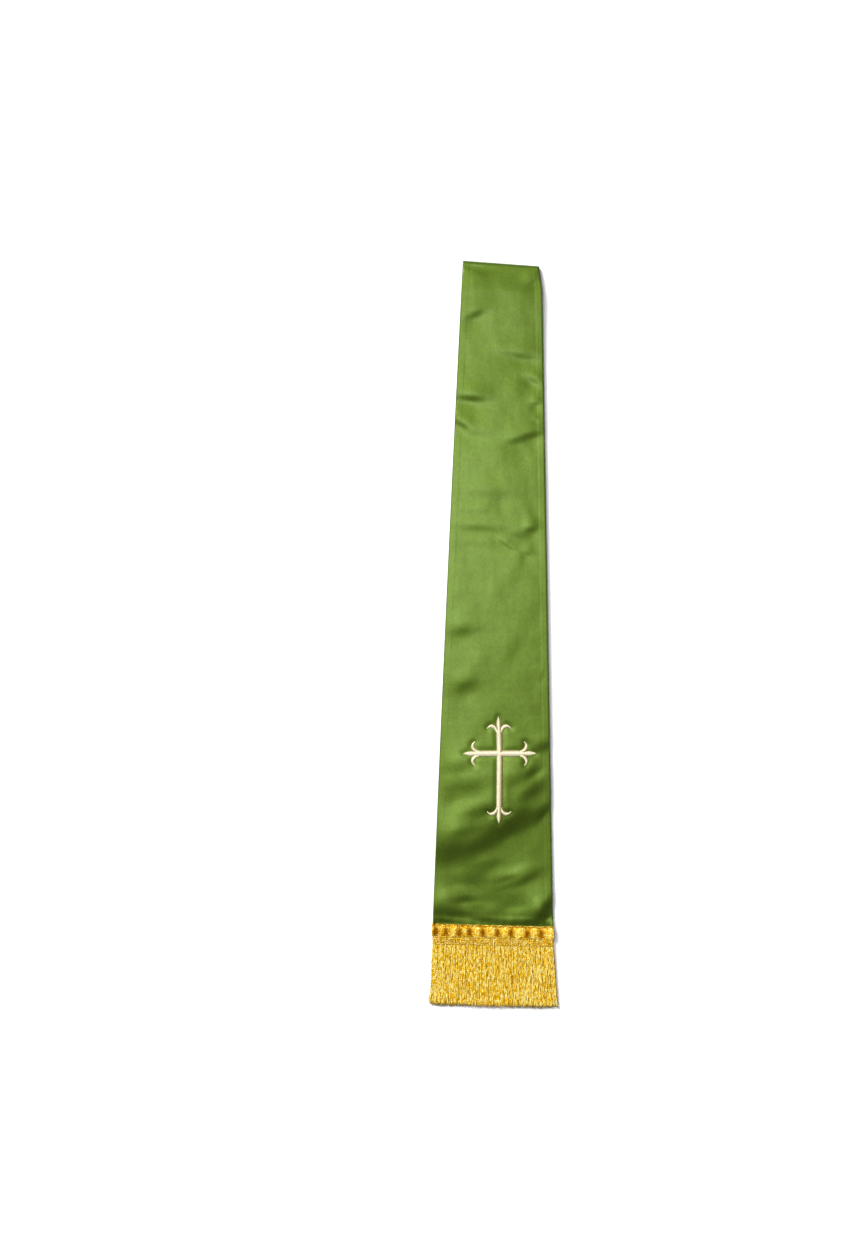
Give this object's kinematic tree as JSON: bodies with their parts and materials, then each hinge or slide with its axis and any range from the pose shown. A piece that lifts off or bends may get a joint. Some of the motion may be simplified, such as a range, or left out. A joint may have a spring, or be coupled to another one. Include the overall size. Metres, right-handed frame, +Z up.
{
  "type": "clerical stole",
  "caption": "Reversible clerical stole, green over purple, folded at its neck seam and laid flat, with an embroidered cross, padded gold headers and metallic fringe.",
  "frame": {"origin": "middle of the footprint, on the surface that the folded stole lies on", "axes": "+Y along the stole towards the neck fold, +X across it to the right, +Z up out of the surface"},
  "size_m": [0.1476, 0.8656, 0.015],
  "materials": {
    "green_satin": "satin weave with a soft sheen, and faint creases",
    "purple_satin": "satin weave with a soft sheen",
    "gold_thread": "crinkled metallic gold yarn",
    "cream_thread": "pale gold satin stitch with a silky gloss"
  },
  "bodies": {
    "root": {"front_face": "green_satin", "front_reverse": "purple_satin", "back_half": "green_satin", "header_front": "gold_thread", "header_back": "gold_thread", "fringe_front": "gold_thread", "fringe_back": "gold_thread", "cross_front": "cream_thread"}
  },
  "joints": []
}
